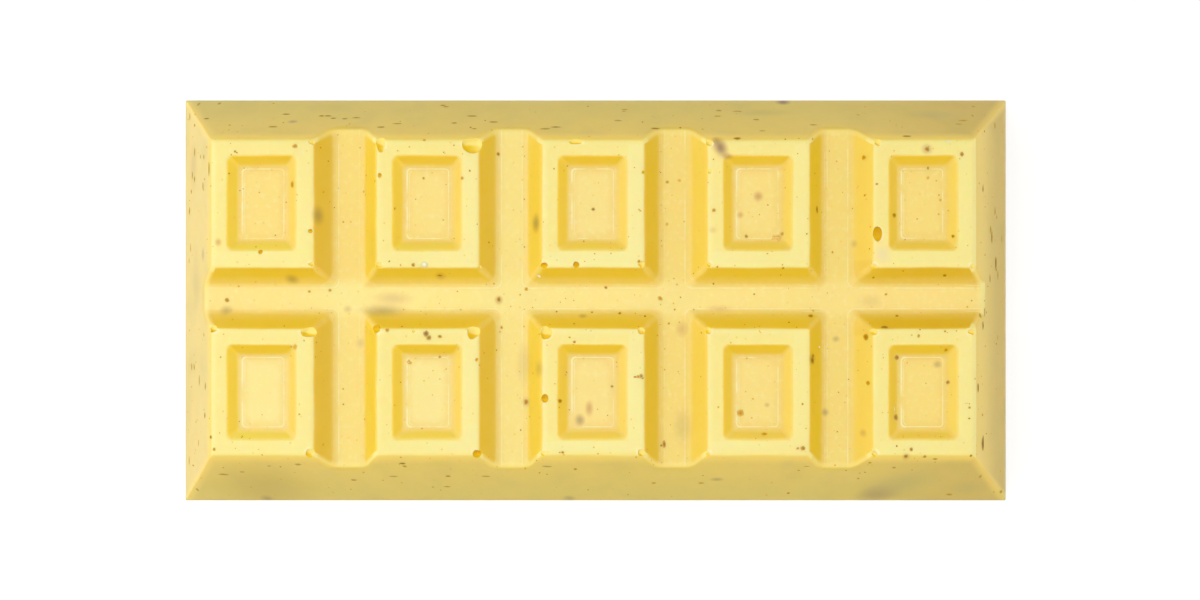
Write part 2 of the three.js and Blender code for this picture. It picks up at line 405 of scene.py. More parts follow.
def blank():
    """A block with four leaning sides, ruled once along the middle of each column."""
    piece = cube("chocolate", (LENGTH, WIDTH, HEIGHT), (0, 0, HEIGHT / 2))
    pick(piece, lambda face: face.normal.z > 0.9)
    shrink = (1 - 2 * SLOPE_RUN / LENGTH, 1 - 2 * SLOPE_RUN / WIDTH, 1)
    bpy.ops.transform.resize(value=shrink, center_override=(0, 0, HEIGHT))
    for column in range(COLUMNS):
        bpy.ops.mesh.select_all(action="SELECT")
        bpy.ops.mesh.bisect(plane_co=(column_x(column), 0, 0), plane_no=(1, 0, 0))
    close_edit()
    return piece


def groove_tool(gap, length):
    """A bar with leaning sides and soft lower edges that cuts one groove along Y."""
    lean = GROOVE_WALL_RUN / GROOVE_DEPTH
    wide = gap + 2 * EXCESS * lean
    narrow = gap - 2 * GROOVE_WALL_RUN
    tall = GROOVE_DEPTH + EXCESS
    tool = cube("groove_tool", (wide, length, tall), (0, 0, FLOOR_Z + tall / 2))
    pick(tool, lambda face: face.normal.z < -0.9)
    bpy.ops.transform.resize(value=(narrow / wide, 1, 1), center_override=(0, 0, FLOOR_Z))
    close_edit()

    def lower_side(edge):
        along_y = abs(edge.verts[0].co.x - edge.verts[1].co.x) < 0.01
        return along_y and middle(edge).z < FLOOR_Z + 0.01

    pick(tool, lower_side, "EDGE")
    bpy.ops.mesh.bevel(offset=GROOVE_FOOT, segments=6, profile=0.5)
    close_edit()
    return tool


def cut_grooves(piece):
    for column in range(1, COLUMNS):
        tool = groove_tool(PITCH_X - BLOCK_X, WIDTH + 2 * EXCESS)
        tool.location.x = (column - COLUMNS / 2) * PITCH_X
        settle(tool)
        boolean(piece, tool, "DIFFERENCE")
    tool = groove_tool(PITCH_Y - BLOCK_Y, LENGTH + 2 * EXCESS)
    tool.rotation_euler.z = math.pi / 2
    settle(tool)
    boolean(piece, tool, "DIFFERENCE")


def dish_profile():
    """How far in from the rim and how deep each ring of a dish's wall lies."""
    steep = DISH_DEPTH / (DISH_RIM_RUN / 2 + DISH_WALL_RUN + DISH_FOOT_RUN / 2)
    whole = DISH_RIM_RUN + DISH_WALL_RUN + DISH_FOOT_RUN
    shares = [step / DISH_SOFT_STEPS for step in range(DISH_SOFT_STEPS + 1)]
    rim = [(DISH_RIM_RUN * t, steep * DISH_RIM_RUN * t * t / 2) for t in shares[1:]]
    foot = [(DISH_FOOT_RUN * t, steep * DISH_FOOT_RUN * t * t / 2) for t in reversed(shares)]
    return rim + [(whole - inset, DISH_DEPTH - depth) for inset, depth in foot]


def dish_tool(x, y):
    """A shallow tray with round corners, whose wall is drawn down ring by ring."""
    centre = Vector((x, y, HEIGHT + EXCESS / 2))
    tool = cube("dish_tool", (DISH_X, DISH_Y, EXCESS), centre)
    pick(tool, lambda edge: abs(edge.verts[0].co.z - edge.verts[1].co.z) > EXCESS / 2, "EDGE")
    bpy.ops.mesh.bevel(offset=DISH_CORNER, segments=6, profile=0.5)
    close_edit()
    pick(tool, lambda face: face.normal.z < -0.9)
    inset, depth = 0.0, 0.0
    for next_inset, next_depth in dish_profile():
        drop = (0, 0, depth - next_depth)
        wide = (DISH_X - 2 * inset, DISH_Y - 2 * inset)
        shrink = [(side - 2 * (next_inset - inset)) / side for side in wide]
        bpy.ops.mesh.extrude_region_move(TRANSFORM_OT_translate={"value": drop})
        bpy.ops.transform.resize(value=(*shrink, 1), center_override=(x, y, HEIGHT - next_depth))
        inset, depth = next_inset, next_depth
    close_edit()
    return tool


def cut_dishes(piece):
    for column in range(COLUMNS):
        for row in range(ROWS):
            boolean(piece, dish_tool(column_x(column), row_y(row)), "DIFFERENCE")


def soften(piece):
    """Rounds every edge that stands proud, the outer rim most and the bottom edge a little."""
    weights = piece.data.attributes.new("bevel_weight_edge", "FLOAT", "EDGE")
    mesh = bmesh.new()
    mesh.from_mesh(piece.data)
    shares = [0.0] * len(mesh.edges)
    for edge in mesh.edges:
        place = middle(edge)
        if bend_angle(edge) > 16 and place.z > 0.1:
            if abs(edge.verts[0].co.z - edge.verts[1].co.z) > HEIGHT / 2:
                shares[edge.index] = HIP_EDGE / RIM_EDGE
            else:
                shares[edge.index] = 1.0 if inward(place) < 0.05 else SOFT_EDGE / RIM_EDGE
    mesh.free()
    weights.data.foreach_set("value", shares)
    only(piece)
    bpy.ops.object.modifier_add(type="BEVEL")
    modifier = piece.modifiers[-1]
    modifier.limit_method = "WEIGHT"
    modifier.width = RIM_EDGE
    modifier.segments = 4
    modifier.use_clamp_overlap = False
    bpy.ops.object.modifier_apply(modifier=modifier.name)
    pick(piece, lambda edge: bend_angle(edge) > 60 and middle(edge).z < 0.1, "EDGE")
    bpy.ops.mesh.bevel(offset=BOTTOM_EDGE, segments=2, profile=0.5)
    close_edit()


def inward(place):
    """How far in a point lies from the outer slope at its own height."""
    nearest = min(LENGTH / 2 - abs(place.x), WIDTH / 2 - abs(place.y))
    return nearest - place.z * SLOPE_RUN / HEIGHT


def rule_finely(piece):
    """Cuts the moulded side along fine lines both ways, so that it can be made uneven."""
    pick(piece, lambda face: face.normal.z < -0.9)
    bpy.ops.mesh.hide()
    for axis, extent in ((0, LENGTH), (1, WIDTH)):
        normal = [0, 0, 0]
        normal[axis] = 1
        count = round(extent / RULE_STEP)
        for step in range(1, count):
            place = [0, 0, 0]
            place[axis] = (step / count - 0.5) * extent
            bpy.ops.mesh.select_all(action="SELECT")
            bpy.ops.mesh.bisect(plane_co=place, plane_no=normal)
    bpy.ops.mesh.reveal()
    close_edit()


def roughen(piece):
    """Moves the moulded side by a few hundredths of a millimetre, as set chocolate is uneven."""
    for vertex in piece.data.vertices:
        place = vertex.co.copy()
        if place.z < 0.05:
            continue
        share = min(1.0, place.z / EVEN_BELOW)
        wave = noise.noise_vector(place / WAVE_LENGTH) * WAVE_REACH
        wave += noise.noise_vector(place / RIPPLE_LENGTH) * RIPPLE_REACH
        swell = noise.noise(place / SWELL_LENGTH + Vector((7, 3, 1))) * SWELL_REACH
        vertex.co.x += wave.x * share
        vertex.co.y += wave.y * share
        vertex.co.z += (wave.z * UPRIGHT_SHARE + swell) * share - LET_DOWN * share
    piece.data.update()


def ball(name, radius, centre, stretch, seed, lumps):
    """A round lump that isn't quite a ball, for hollows, saucers, crumbs and chips."""
    bpy.ops.object.select_all(action="DESELECT")
    bpy.ops.mesh.primitive_ico_sphere_add(subdivisions=3, radius=radius, location=(0, 0, 0))
    piece = bpy.context.object
    piece.name = name
    for vertex in piece.data.vertices:
        swell = noise.noise(vertex.co / radius * 0.9 + Vector((seed * 3.7, seed * 1.3, 5)))
        vertex.co *= 1 + lumps * swell
    piece.scale = stretch
    piece.location = centre
    settle(piece)
    return piece


def cut_bubbles(piece, deep_skin, open_skin):
    """Each bubble is a hole in the middle of a faint saucer, where its skin burst."""
    tree = search_tree(piece)
    saucers = []
    hollows = []
    kinds = [(bubble, deep_skin, *DEEP_HOLLOW) for bubble in DEEP_BUBBLES]
    kinds += [(bubble, open_skin, *OPEN_HOLLOW) for bubble in OPEN_BUBBLES]
    for number, (bubble, skin, raised, wider, lumps) in enumerate(kinds):
        *spot, radius, long_x, long_y = bubble
        x, y = on_block(*spot)
        place, _ = spot_below(tree, x, y)
        level = max(place.z, HEIGHT - SAUCER_SINK)
        wide = SAUCER_ROUND * radius
        lift = math.sqrt(wide**2 - (SAUCER_REACH * radius) ** 2)
        stretch = (long_x * wider, long_y * wider, 1)
        centre = (x, y, level + lift)
        saucers.append(ball("saucer", wide, centre, stretch, number, SAUCER_LUMPS))
        centre = (x, y, level + raised * radius)
        hollows.append(ball("bubble", radius, centre, stretch, number, lumps))
        paint(saucers[-1], deep_skin)
        paint(hollows[-1], skin)
    boolean(piece, join(saucers), "DIFFERENCE")
    boolean(piece, join(hollows), "DIFFERENCE")


def add_crumbs(piece, finish):
    for number, (*spot, radius) in enumerate(CRUMBS):
        centre = (*on_block(*spot), DISH_Z - CRUMB_SINK * radius)
        lump = ball("crumb", radius, centre, CRUMB_SHAPE, number + 50, CRUMB_LUMPS)
        paint(lump, finish)
        boolean(piece, lump, "UNION")


def to_metres(piece):
    piece.scale = (MM, MM, MM)
    settle(piece)


def chocolate_bar(finish, deep_skin, open_skin, crumb):
    piece = blank()
    paint(piece, finish)
    cut_grooves(piece)
    cut_dishes(piece)
    soften(piece)
    rule_finely(piece)
    roughen(piece)
    add_crumbs(piece, crumb)
    cut_bubbles(piece, deep_skin, open_skin)
    only(piece)
    bpy.ops.object.shade_smooth_by_angle(angle=math.radians(35))
    return piece


# ---------------------------------------------------------------------------------------------
# Flecks and chips
# ---------------------------------------------------------------------------------------------


def search_tree(piece):
    mesh = bmesh.new()
    mesh.from_mesh(piece.data)
    tree = BVHTree.FromBMesh(mesh)
    mesh.free()
    return tree


def spot_below(tree, x, y):
    """Where a plumb line at x, y meets the moulded side, and which way the surface faces there."""
    place, normal, _, _ = tree.ray_cast(Vector((x, y, 2 * HEIGHT)), Vector((0, 0, -1)))
    return place, normal


def fleck_pattern():
    """A grain pressed flat, one millimetre in radius."""
    bpy.ops.object.select_all(action="DESELECT")
    bpy.ops.mesh.primitive_uv_sphere_add(segments=12, ring_count=4, radius=1)
    piece = bpy.context.object
    piece.name = "fleck"
    piece.scale = (1, 1, FLECK_FLATNESS)
    settle(piece)
    return piece


def body_near(normal, place):
    """The colour of the chocolate round a fleck, which its rim fades towards."""
    if inward(place) < 0.3:
        return NEAR_SLOPE
    return NEAR_LEVEL if normal.z > 0.93 else NEAR_WALL


def lay_fleck(pattern, tree, x, y, reach, turn, tone, seed):
    """Copies the pattern, gives it an outline of its own and lays it into the surface."""
    place, normal = spot_below(tree, x, y)
    if place is None or place.z < 0.3:
        return None
    piece = pattern.copy()
    piece.data = pattern.data.copy()
    bpy.context.scene.collection.objects.link(piece)
    rim = body_near(normal, place)
    east = Vector((1, 0, 0)) - normal * normal.x
    tilt = Matrix((east.normalized(), normal.cross(east).normalized(), normal)).transposed()
    spin = Matrix.Rotation(turn, 3, "Z")
    colours = piece.data.attributes.new("tone", "FLOAT_COLOR", "POINT")
    shades = []
    for vertex in piece.data.vertices:
        out = min(1.0, math.hypot(vertex.co.x, vertex.co.y))
        swell = noise.noise(vertex.co * 1.3 + Vector((seed * 1.7, seed * 0.9, 3)))
        grown = FLECK_SPREAD * (1 + FLECK_UNEVENNESS * swell)
        flat = spin @ Vector((vertex.co.x * reach[0] * grown, vertex.co.y * reach[1] * grown, 0))
        flat.z = vertex.co.z * min(reach) + FLECK_LIFT
        vertex.co = place + tilt @ flat
        fade = max(0.0, out - FLECK_CORE) / (1 - FLECK_CORE)
        shades.extend([a + (b - a) * fade for a, b in zip(tone, rim)] + [1.0])
    colours.data.foreach_set("color", shades)
    return piece


def pick_tone(draw):
    for tone, share in FLECK_SHARES:
        if draw < share:
            return tone
        draw -= share
    return RUST


def loose_flecks(dice, half_x, half_y):
    """Flecks anywhere on the bar: place, reach, turn, tone and number for the outline."""
    sizes = [dice.uniform(*LARGER_REACH) for _ in range(FEW_LARGER)]
    sizes += [SMALLEST_REACH + SMALL_RANGE * dice.random() ** 2 for _ in range(MANY_SMALL)]
    for number, size in enumerate(sizes):
        x = dice.uniform(-half_x, half_x)
        y = dice.uniform(-half_y, half_y)
        reach = (size, size * dice.uniform(0.7, 1.0))
        turn = dice.uniform(0, math.pi)
        tone = pick_tone(dice.random())
        yield x, y, reach, turn, tone, number + 100


def slope_streaks(dice, half_x, half_y):
    """The same for streaks along the outer slopes."""
    for number in range(SLOPE_STREAKS):
        side = dice.choice(("back", "front", "left", "right"))
        out = dice.uniform(1.0, SLOPE_RUN - 1.5)
        long = dice.uniform(*STREAK_LENGTH)
        thin = dice.uniform(*STREAK_WIDTH)
        if side in ("back", "front"):
            x = dice.uniform(-half_x, half_x)
            y = (WIDTH / 2 - out) * (1 if side == "back" else -1)
            reach = (long, thin)
        else:
            x = (LENGTH / 2 - out) * (1 if side == "right" else -1)
            y = dice.uniform(-half_y, half_y)
            reach = (thin, long)
        yield x, y, reach, 0.0, dice.choice(STREAK_TONES), number + 900


def gather(pieces, name, finish):
    """Makes one piece of many, smooth and in one material."""
    piece = join(pieces)
    piece.name = name
    paint(piece, finish)
    only(piece)
    bpy.ops.object.shade_smooth_by_angle(angle=math.radians(40))
    return piece


def flecks(bar, finish):
    """Every brown and amber grain, as one piece."""
    tree = search_tree(bar)
    pattern = fleck_pattern()
    dice = random.Random(SEED)
    half = (LENGTH / 2 - EDGE_GAP, WIDTH / 2 - EDGE_GAP)
    laid = []
    for number, (x, y, reach_x, reach_y, tone) in enumerate(FLECKS):
        laid.append(lay_fleck(pattern, tree, x, y, (reach_x, reach_y), 0.0, tone, number))
    for fleck in (*loose_flecks(dice, *half), *slope_streaks(dice, *half)):
        laid.append(lay_fleck(pattern, tree, *fleck))
    bpy.data.objects.remove(pattern)
    return gather([piece for piece in laid if piece], "flecks", finish)


def chips(bar, finish):
    """Small pale splinters that stand out of the surface."""
    tree = search_tree(bar)
    laid = []
    for number, (x, y, long, thin, turn) in enumerate(CHIPS):
        place, normal = spot_below(tree, x, y)
        stretch = (1, thin / long, CHIP_FLATNESS * thin / long)
        lump = ball("chip", long, (0, 0, 0), stretch, number + 80, CHIP_LUMPS)
        lump.rotation_euler.z = math.radians(turn)
        lump.location = place - normal * CHIP_SINK
        settle(lump)
        laid.append(lump)
    return gather(laid, "chips", finish)


# ---------------------------------------------------------------------------------------------
# Materials
# ---------------------------------------------------------------------------------------------


# Colours of the chocolate, with light and shade painted in: level ground is painted pale, as by
# the sheen of the lamps overhead, and leaning walls deep gold, as in shade
PALE_TOP = (0.99, 0.785, 0.27)  # level tops of the blocks, with painted sheen
HIGHLIT_TOP = (0.99, 0.80, 0.295)  # painted highlight on their rims and on the bands right of and below the dishes
HIGHLIT_MIDDLE = (0.99, 0.82, 0.34)  # the same near the middle of the bar
DISH_LEFT = (0.945, 0.715, 0.205)  # dish floors at the left end
DISH_RIGHT = (0.915, 0.71, 0.19)  # and at the right end
DISH_MIDDLE = (0.935, 0.735, 0.25)
DISH_SHADE = (0.84, 0.60, 0.13)  # painted shade on the floor of a dish close to its wall
FLOOR_SHADE = (0.80, 0.56, 0.10)  # and of a groove
GROOVE_LEFT = (0.92, 0.705, 0.18)  # short groove floors
GROOVE_RIGHT = (0.88, 0.695, 0.18)
GROOVE_PALE = (0.925, 0.75, 0.24)  # the second one from the left
DISH_PALE = (0.95, 0.775, 0.29)  # the dishes at the front left
LONG_END = (0.965, 0.74, 0.245)  # left end of the long groove
LONG_LEFT = (0.975, 0.80, 0.30)  # floor of the long groove
LONG_RIGHT = (0.92, 0.71, 0.215)
GOLD_WALL = (0.845, 0.575, 0.011)  # leaning walls of dishes and grooves, painted deep gold as in shade
LIT_WALL = (0.88, 0.61, 0.032)  # painted light on those of them that face left or back, towards the lamps
LIT_WALL_RIGHT = (0.905, 0.66, 0.055)  # more painted light on those that face left, at the right end
LIT_DISH_FRONT_LEFT = (0.97, 0.725, 0.085)  # painted light on the front walls of the dishes at the left end, which face back
LIT_DISH_FRONT_RIGHT = (0.87, 0.615, 0.06)  # and at the right end
LIT_DISH_WALL_LEFT = (0.96, 0.66, 0.008)  # painted light on the left walls of the dishes at the left end, which face right
SHADED_END_WALL = (0.79, 0.50, 0.006)  # painted shade on the walls of the long groove at the right end
SLOPE_HIGH = (0.80, 0.59, 0.10)  # the four outer slopes under the rim, with a pale painted reflection of the table
SLOPE_LOW = (0.70, 0.545, 0.10)  # and further down
SHADED_SLOPE_RIGHT = (0.645, 0.46, 0.072)  # and at the right end, in painted shade
LIT_SLOPE_LEFT = (0.80, 0.605, 0.145)  # the left slope, in painted light from the lamp on the left
# painted highlight under the rim of the outer slopes, along the hips and up the right slope
RIM_HIGHLIGHT = (0.90, 0.67, 0.13)
UNDERSIDE = (0.93, 0.70, 0.19)
WARM_SWIRL = (0.95, 0.66, 0.14)
# pale fat in patches, and the painted highlight along the thin raised lines
PALE_FAT_AND_HIGHLIGHT = (0.98, 0.90, 0.52)
# inside the deep bubbles: a painted highlight at the rim, painted shade in the hollow, darker on
# its back wall
HOLLOW_RIM_HIGHLIGHT = (0.99, 0.85, 0.43)
SHADED_HOLLOW_BACK = (0.76, 0.47, 0.003)
LIT_HOLLOW_FRONT = (0.91, 0.63, 0.006)
# inside the open bubbles: painted pale at the back, painted shade at the front
LIT_OPEN_BACK = (0.98, 0.79, 0.22)
SHADED_OPEN_FRONT = (0.90, 0.61, 0.008)
OCHRE = (0.80, 0.48, 0.02)
CRUMB_TONES = ((0.86, 0.58, 0.14), (0.70, 0.42, 0.08))
CHIP_TONES = ((1.0, 0.93, 0.62), (0.99, 0.88, 0.48))
OLIVE_GREY = (0.28, 0.17, 0.02)
GREY = (0.31, 0.175, 0.06)
PURPLE_GREY = (0.27, 0.13, 0.06)
ROSE_BROWN = (0.52, 0.19, 0.03)
OLIVE_SHADE = (0.54, 0.44, 0.10)
BROWN_SHADE = (0.50, 0.35, 0.03)
PALE_LILAC = (0.84, 0.72, 0.42)

# Soft patches, small ones where darker grains lie under the surface and broad ones on the outer
# slopes: x, y, reach each way in millimetres, turn in degrees, colour and strength
CLOUDS = [
    (-47.4, 14.2, 0.95, 1.9, 0, OLIVE_GREY, 0.5),
    (-9.8, 12.9, 0.85, 1.9, 0, OLIVE_GREY, 0.65),
    (22.0, 25.8, 1.4, 2.0, 25, PURPLE_GREY, 0.8),
    (21.2, 26.9, 0.9, 0.9, 0, GREY, 0.45),
    (23.2, 24.3, 1.1, 0.7, 0, PURPLE_GREY, 0.45),
    (28.6, 17.5, 1.0, 1.0, 0, ROSE_BROWN, 0.6),
    (25.5, 14.3, 0.7, 0.7, 0, ROSE_BROWN, 0.45),
    (-52.3, 3.3, 1.4, 0.9, 0, OLIVE_GREY, 0.5),
    (-64.1, -2.1, 1.3, 1.0, 0, OLIVE_GREY, 0.4),
    (-35.0, 0.0, 4.0, 1.5, 0, PURPLE_GREY, 0.24),
    (-36.8, -2.1, 4.4, 1.3, 0, OLIVE_GREY, 0.42),
    (-42.9, -1.9, 0.9, 0.8, 0, GREY, 0.28),
    (-40.6, -7.8, 1.0, 1.1, 0, GREY, 0.2),
    (-2.2, -21.1, 1.0, 1.2, 0, GREY, 0.6),
    (-0.6, -19.1, 0.8, 1.5, 0, ROSE_BROWN, 0.55),
    (21.8, -32.0, 1.4, 0.45, 0, GREY, 0.5),
    (-4.8, -36.1, 1.3, 0.7, 0, GREY, 0.5),
    (-59.9, -36.1, 1.3, 0.8, 0, GREY, 0.7),
    (34.2, 36.1, 1.5, 0.7, 0, PURPLE_GREY, 0.95),
    (51.3, -35.0, 4.2, 2.1, 8, GREY, 0.7),
    (67.0, -33.8, 3.4, 1.6, 0, OLIVE_SHADE, 0.5),
    (54.5, -33.2, 8.0, 3.4, 14, OLIVE_SHADE, 0.75),
    (40.5, -19.9, 0.8, 0.8, 0, GREY, 0.5),
    (42.4, -7.1, 0.8, 0.7, 0, GREY, 0.4),
    (48.4, -0.5, 2.6, 1.5, 0, GREY, 0.15),
    (59.5, -11.5, 0.9, 0.8, 0, PURPLE_GREY, 0.4),
    (46.8, -23.4, 0.6, 0.8, 0, ROSE_BROWN, 0.4),
    (30.1, -18.5, 0.6, 0.5, 0, ROSE_BROWN, 0.4),
    (54.0, -27.4, 0.8, 0.8, 0, ROSE_BROWN, 0.4),
    (20.7, 11.6, 0.9, 0.7, 0, ROSE_BROWN, 0.22),
    (-64.3, 9.5, 0.7, 0.8, 0, ROSE_BROWN, 0.5),
    (-16.5, -0.3, 0.8, 0.9, 0, ROSE_BROWN, 0.6),
    (-26.4, 3.8, 1.1, 0.7, 0, ROSE_BROWN, 0.45),
    (15.5, -5.4, 1.3, 1.6, 0, ROSE_BROWN, 0.3),
    (22.0, -1.8, 2.6, 0.8, 0, ROSE_BROWN, 0.22),
    (-1.8, -3.1, 0.9, 0.5, 0, OLIVE_GREY, 0.4),
    (57.5, 25.5, 1.1, 1.1, 0, GREY, 0.4),
    (-53.2, 31.3, 1.0, 0.45, 0, GREY, 0.6),
    (-68.3, 7.7, 0.55, 1.4, 0, PURPLE_GREY, 0.4),
    (37.9, -10.6, 0.8, 1.2, 0, GREY, 0.4),
    (49.9, 7.4, 1.7, 2.0, 0, PALE_LILAC, 0.6),
    (45.5, 9.5, 0.6, 0.8, 0, GREY, 0.3),
    (-12.0, -11.5, 1.7, 4.2, 0, OLIVE_GREY, 0.16),
    (-9.2, -12.3, 0.9, 1.6, 0, OLIVE_GREY, 0.3),
    (-11.7, -18.1, 0.9, 1.0, 0, GREY, 0.3),
    (15.6, -22.3, 1.9, 3.7, 0, OLIVE_GREY, 0.2),
    (-38.0, 8.0, 1.6, 6.0, 0, OLIVE_GREY, 0.07),
    (-72.0, 24.0, 1.6, 5.0, 0, PURPLE_GREY, 0.2),
    (-71.0, 4.0, 2.0, 7.0, 0, PURPLE_GREY, 0.12),
    (60.0, 33.0, 5.0, 1.2, 0, OLIVE_SHADE, 0.5),
    (30.0, 33.5, 6.0, 1.0, 0, OLIVE_SHADE, 0.4),
    (-59.0, -33.5, 11.0, 5.5, 0, BROWN_SHADE, 0.55),
]
SLOPE_CLOUDINESS = 0.25  # strength of the olive clouding on the outer slopes


class Value:
    """A number, vector or colour that varies over the surface: an output of a material's node."""

    def __init__(self, socket):
        self.socket = socket
        self.net = socket.id_data

    def __add__(self, other):
        return calc("ADD", self, other)

    def __sub__(self, other):
        return calc("SUBTRACT", self, other)

    def __rsub__(self, other):
        return calc("SUBTRACT", other, self)

    def __mul__(self, other):
        return calc("MULTIPLY", self, other)

    def __abs__(self):
        return calc("ABSOLUTE", self)


def new_material(name):
    """A fresh material with its node tree and its main shader."""
    material = bpy.data.materials.new(name)
    material.use_nodes = True
    net = material.node_tree
    return material, net, net.nodes["Principled BSDF"]


def feed(node, inputs, output=0):
    """Links a node's inputs to what varies, sets the others, and gives back one output."""
    for name, value in inputs.items():
        if isinstance(value, Value):
            value.net.links.new(value.socket, node.inputs[name])
        else:
            node.inputs[name].default_value = value
    return Value(node.outputs[output])


def calc(operation, *values):
    net = [value for value in values if isinstance(value, Value)][0].net
    node = net.nodes.new("ShaderNodeMath")
    node.operation = operation
    return feed(node, dict(enumerate(values)))


def larger(first, second):
    return calc("MAXIMUM", first, second)


def mix(factor, first, second):
    """One colour at factor 0, the other at 1."""
    node = factor.net.nodes.new("ShaderNodeMix")
    node.data_type = "RGBA"
    node.clamp_factor = True
    ends = [(*end, 1) if isinstance(end, tuple) else end for end in (first, second)]
    return feed(node, {"Factor": factor, "A": ends[0], "B": ends[1]}, "Result")


def choose(factor, first, second):
    """One number at factor 0, the other at 1."""
    node = factor.net.nodes.new("ShaderNodeMix")
    return feed(node, {"Factor": factor, "A": first, "B": second}, "Result")


def ramp(value, low, high, smooth=True):
    """Turns a value into 0 at low and 1 at high, with soft ends."""
    node = value.net.nodes.new("ShaderNodeMapRange")
    node.interpolation_type = "SMOOTHSTEP" if smooth else "LINEAR"
    return feed(node, {"Value": value, "From Min": low, "From Max": high}, "Result")


def axes(vector):
    node = vector.net.nodes.new("ShaderNodeSeparateXYZ")
    feed(node, {0: vector})
    return [Value(node.outputs[axis]) for axis in "XYZ"]


def position(net):
    """Where a point of the surface lies in millimetres, as a vector."""
    metres = Value(net.nodes.new("ShaderNodeTexCoord").outputs["Object"])
    node = net.nodes.new("ShaderNodeVectorMath")
    node.operation = "SCALE"
    return feed(node, {0: metres, "Scale": 1 / MM})


def facing(net):
    """Which way the surface faces, axis by axis."""
    return axes(Value(net.nodes.new("ShaderNodeTexCoord").outputs["Normal"]))


def grain(vector, scale, detail=3.0):
    node = vector.net.nodes.new("ShaderNodeTexNoise")
    return feed(node, {"Vector": vector, "Scale": scale, "Detail": detail}, "Fac")


def specks(vector, cell, reach, share):
    """Small round specks of uneven size, in a share of the cells that fill the chocolate."""
    cells = vector.net.nodes.new("ShaderNodeTexVoronoi")
    away = feed(cells, {"Vector": vector, "Scale": 1 / cell}, "Distance")
    draws = vector.net.nodes.new("ShaderNodeSeparateColor")
    chosen = calc("LESS_THAN", feed(draws, {0: Value(cells.outputs["Color"])}, "Red"), share)
    strength = calc("MULTIPLY_ADD", Value(draws.outputs["Green"]), 0.7, 0.3)
    return ramp(away, reach / cell, 0.45 * reach / cell) * chosen * strength


def cloud(vector, x, y, reach_x, reach_y, turn):
    """A soft oval patch seen from above, 1 at its middle."""
    place = vector.net.nodes.new("ShaderNodeMapping")
    place.vector_type = "TEXTURE"
    length = vector.net.nodes.new("ShaderNodeVectorMath")
    length.operation = "LENGTH"
    inputs = {
        "Vector": vector,
        "Location": (x, y, 0),
        "Rotation": (0, 0, math.radians(turn)),
        "Scale": (reach_x, reach_y, 1000),
    }
    return ramp(feed(length, {0: feed(place, inputs)}, "Value"), 1.2, 0.0)


def within_block(place, pitch, count):
    """How far a point lies from the middle of the block under it, along one axis."""
    return calc("FLOORED_MODULO", place + pitch * count / 2, pitch) - pitch / 2


def ring(spot, half, corner):
    """Distance in millimetres outwards from a rectangle with round corners."""
    sides = [larger(abs(place) - (reach - corner), 0.0) for place, reach in zip(spot, half)]
    squares = [side * side for side in sides]
    return calc("SQRT", squares[0] + squares[1]) - corner


def line(distance, place, reach):
    """1 along a thin line at a distance, 0 away from it."""
    return ramp(abs(distance - place), reach, 0.0)


def survey(net):
    """What the bar's colours go by: where a point lies and which way the surface faces there."""
    at = SimpleNamespace()
    at.vector = position(net)
    at.x, at.y, at.z = axes(at.vector)
    at.face_x, at.face_y, at.up = facing(net)
    at.lean = calc("DEGREES", calc("ARCCOSINE", at.up))
    at.left = ramp(at.face_x, -0.05, -0.42)
    at.back = ramp(at.face_y, 0.05, 0.42)
    at.right = ramp(at.face_x, 0.05, 0.2)
    at.front = ramp(at.face_y, -0.05, -0.2)
    # Walls that face the lamps on the left and at the back, which get painted light
    at.lit = larger(at.left, at.back)

    at.along = ramp(at.x, -LENGTH / 2, LENGTH / 2, smooth=False)
    at.central = ramp(abs(at.x), 45, 8)
    at.front_left = ramp(at.y, 0, -5) * ramp(at.x, -10, -25)
    at.spot = (within_block(at.x, PITCH_X, COLUMNS), within_block(at.y, PITCH_Y, ROWS))
    at.in_dish = ramp(ring(at.spot, (DISH_X / 2, DISH_Y / 2), DISH_CORNER), 0.25, 0.0)

    from_end = LENGTH / 2 - abs(at.x)
    from_side = WIDTH / 2 - abs(at.y)
    at.inside = calc("MINIMUM", from_end, from_side) - at.z * (SLOPE_RUN / HEIGHT)
    at.clear = ramp(at.inside, 0.1, 0.7)
    at.hip = ramp(abs(from_end - from_side), 2.0, 0.3)
    return at


def groove_marks(at):
    """Thin raised lines that the mould's cutter left on the floors of the grooves."""
    away = ring(at.spot, (PITCH_X / 2 - GROOVE_MARK, PITCH_Y / 2 - GROOVE_MARK), 1.3)
    right = ramp(at.spot[0], 7.0, 9.0)
    far_right = ramp(at.x, 0.1 * LENGTH, 0.2 * LENGTH)
    left_half = ramp(at.x, 0.05 * LENGTH, -0.05 * LENGTH)
    far_left = ramp(at.x, -0.16 * LENGTH, -0.22 * LENGTH)
    on_right = choose(left_half, choose(far_right, 0.35, 0.7), 0.95)
    on_left = choose(far_left, 0.9, 0.3)
    first = line(away, 0.0, 0.14) * choose(right, on_left, on_right)
    second = line(away, -0.45, 0.12) * right * choose(far_right, 0.4, 0.7)
    return larger(first, second) * ramp(at.z, FLOOR_Z + 0.5, FLOOR_Z + 0.2)


def dish_marks(at):
    """The same round the floors of the dishes, with a broader ridge at their left."""
    half = (DISH_X / 2 - DISH_MARK_X, DISH_Y / 2 - DISH_MARK_Y)
    outer = ring(at.spot, half, 0.6)
    inner = ring(at.spot, [side - 0.4 for side in half], 0.5)
    left = ramp(at.spot[0], -2.6, -2.9)
    marks = larger(line(outer, 0.0, 0.13), line(inner, 0.0, 0.1) * left * 0.8)
    marks = larger(marks, line(outer, 0.0, 0.26) * left)
    sunk = ramp(at.z, DISH_Z + 0.25, DISH_Z + 0.1)
    high = ramp(at.z, DISH_Z - 0.3, DISH_Z - 0.15)
    return marks * (sunk * high) * 1.15


